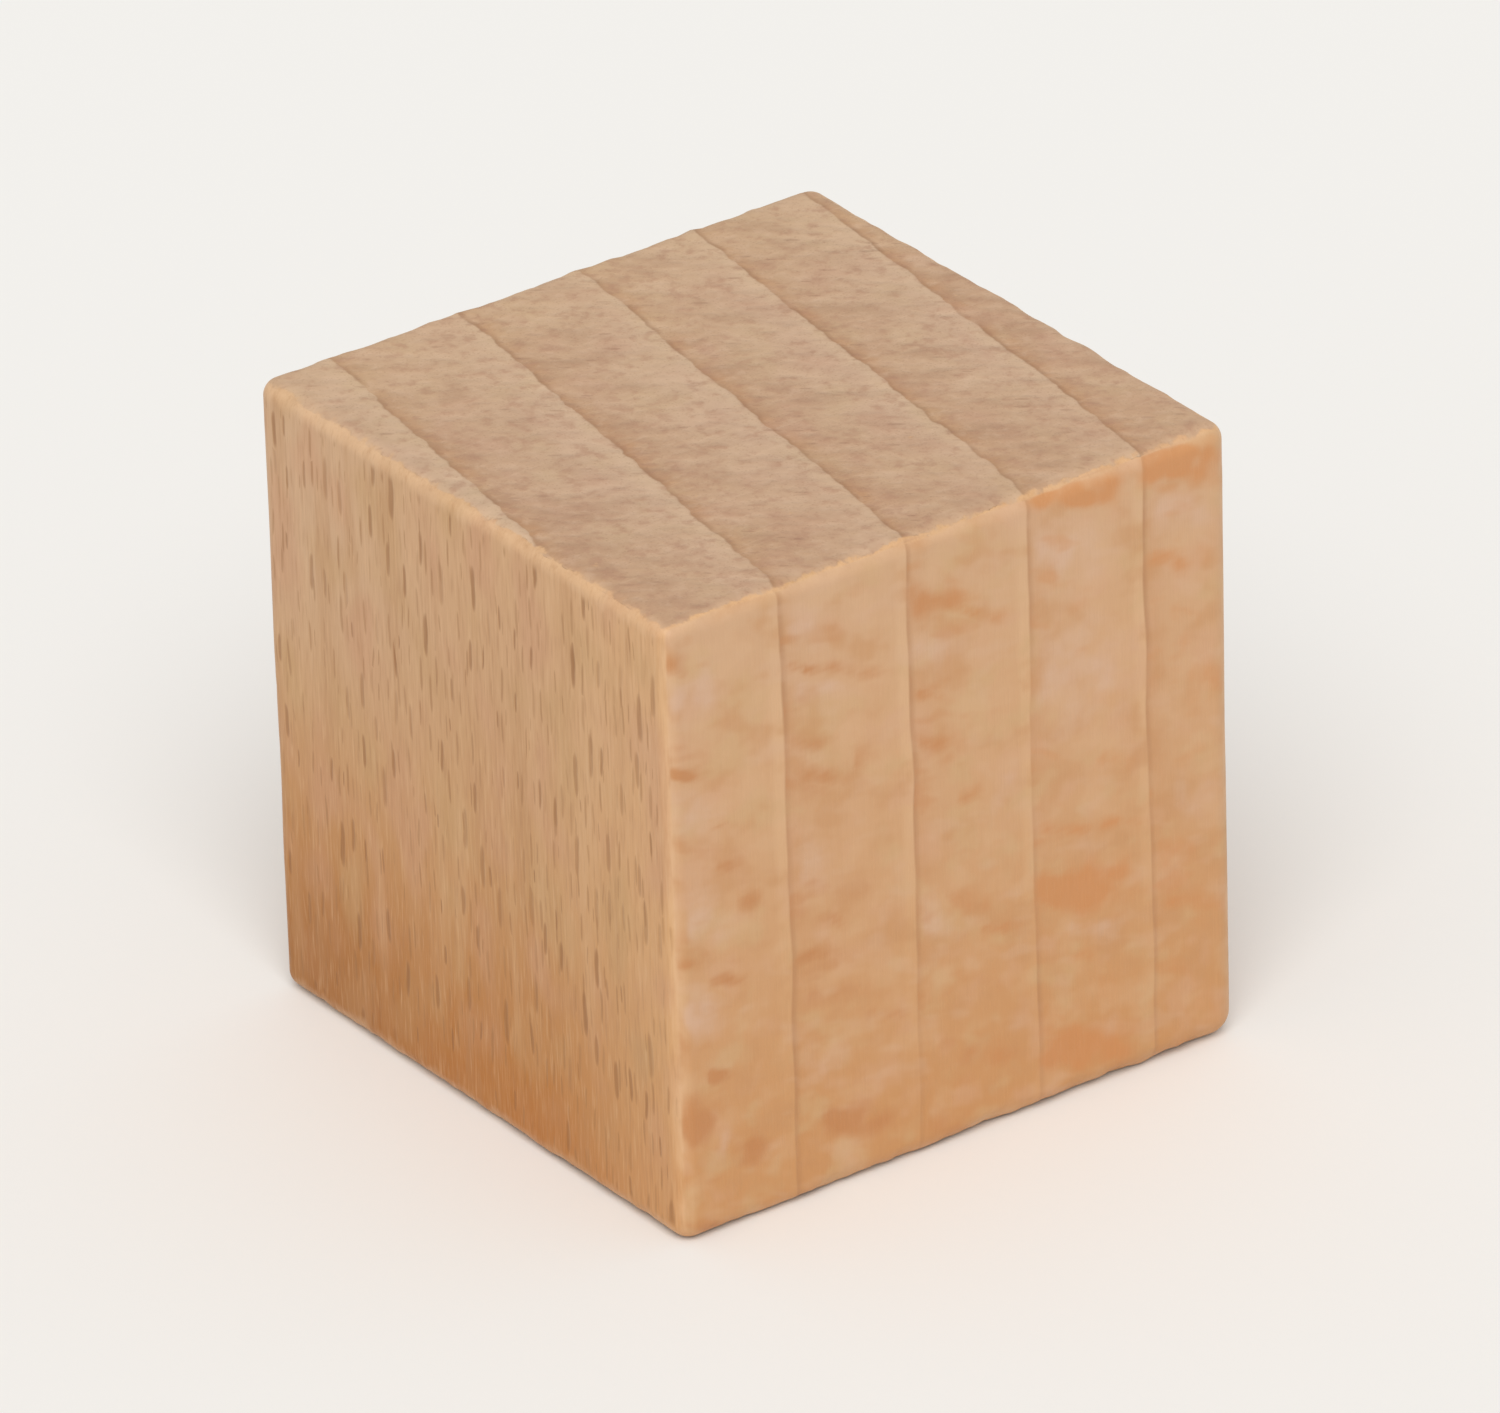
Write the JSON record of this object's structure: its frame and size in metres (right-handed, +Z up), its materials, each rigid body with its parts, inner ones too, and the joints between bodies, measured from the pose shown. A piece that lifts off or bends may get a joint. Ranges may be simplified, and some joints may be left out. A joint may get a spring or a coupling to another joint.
{
  "type": "wooden cube",
  "caption": "Solid beech cube with eased arrises and worn corners, for stacking, spacing, propping and counting.",
  "frame": {"origin": "under the middle of the cube, on the surface it stands on", "axes": "+Z up, along the grain; -Y faces the bark side; +X is a quarter-sawn face"},
  "size_m": [0.025, 0.025, 0.025],
  "materials": {
    "beech": "fine-sanded bare beech"
  },
  "bodies": {
    "root": {"wooden_cube": "beech"}
  },
  "joints": []
}
